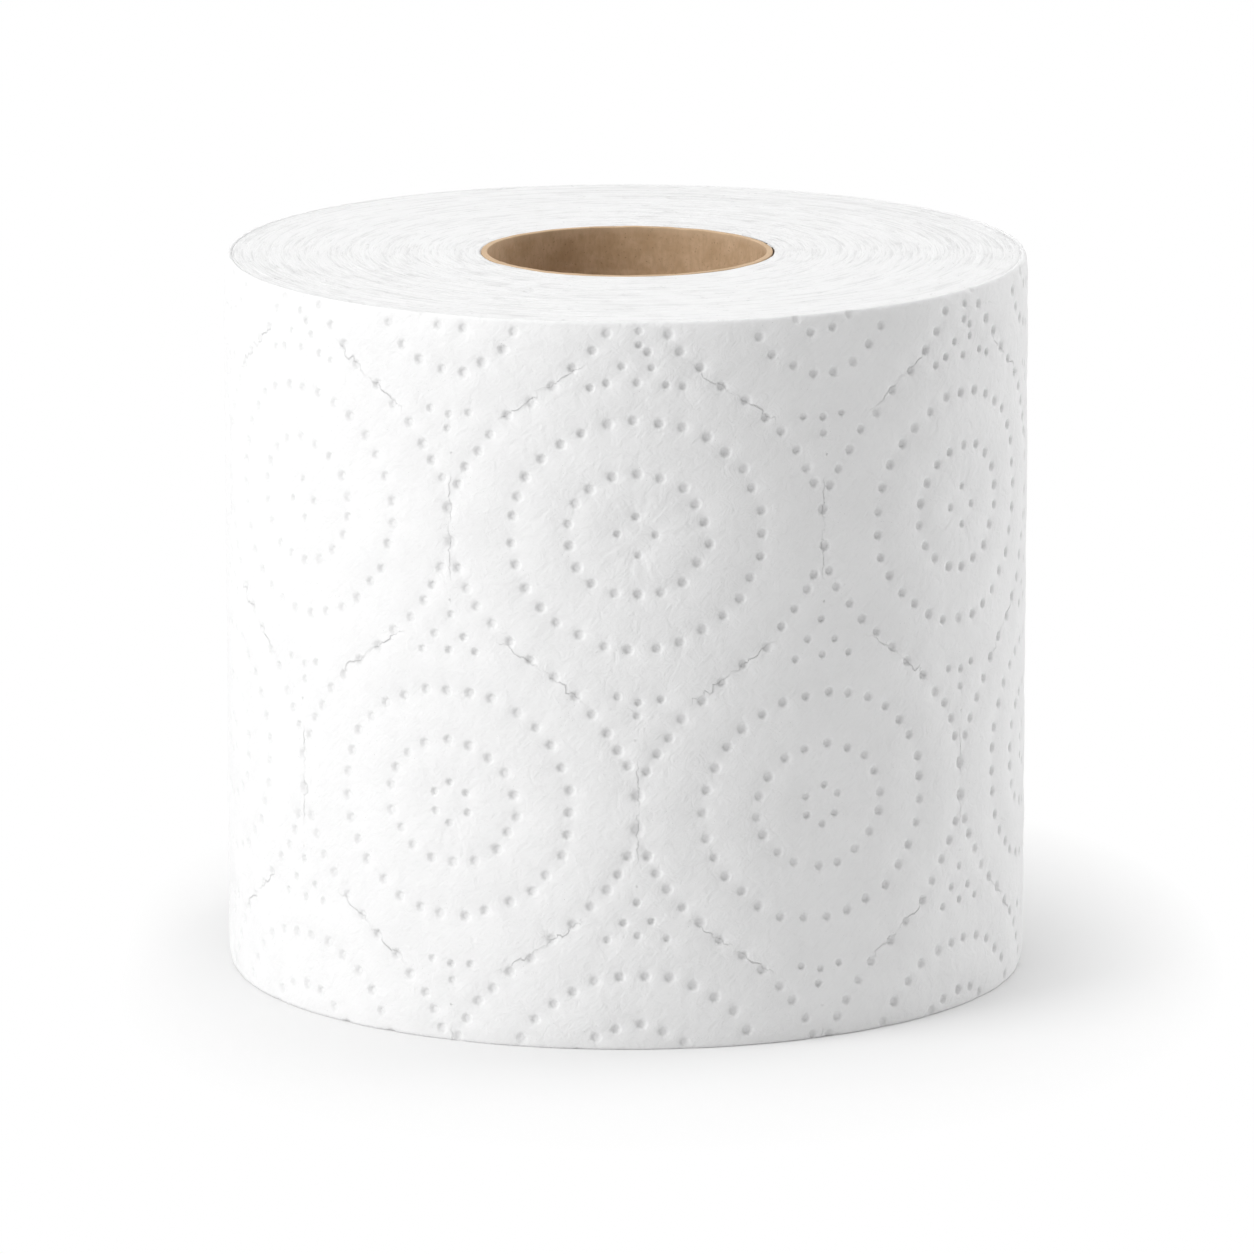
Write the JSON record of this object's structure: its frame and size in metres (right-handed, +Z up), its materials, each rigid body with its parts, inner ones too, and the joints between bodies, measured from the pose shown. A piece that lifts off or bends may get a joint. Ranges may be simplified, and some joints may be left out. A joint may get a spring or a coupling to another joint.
{
  "type": "toilet paper roll",
  "caption": "Wound roll of embossed soft white tissue on a hollow cardboard core, standing on one end, to be hung on a holder's spindle or stood on a shelf.",
  "frame": {"origin": "centre of the end that the roll stands on", "axes": "+Z up along the roll's and the core's axis; the tail of the paper is at the back, towards +Y"},
  "size_m": [0.1157, 0.1155, 0.104],
  "materials": {
    "core_cardboard": "matt grey-brown wound board",
    "tissue": "soft matt white embossed tissue"
  },
  "bodies": {
    "root": {"core_tube": "core_cardboard", "wound_paper": "tissue"}
  },
  "joints": []
}
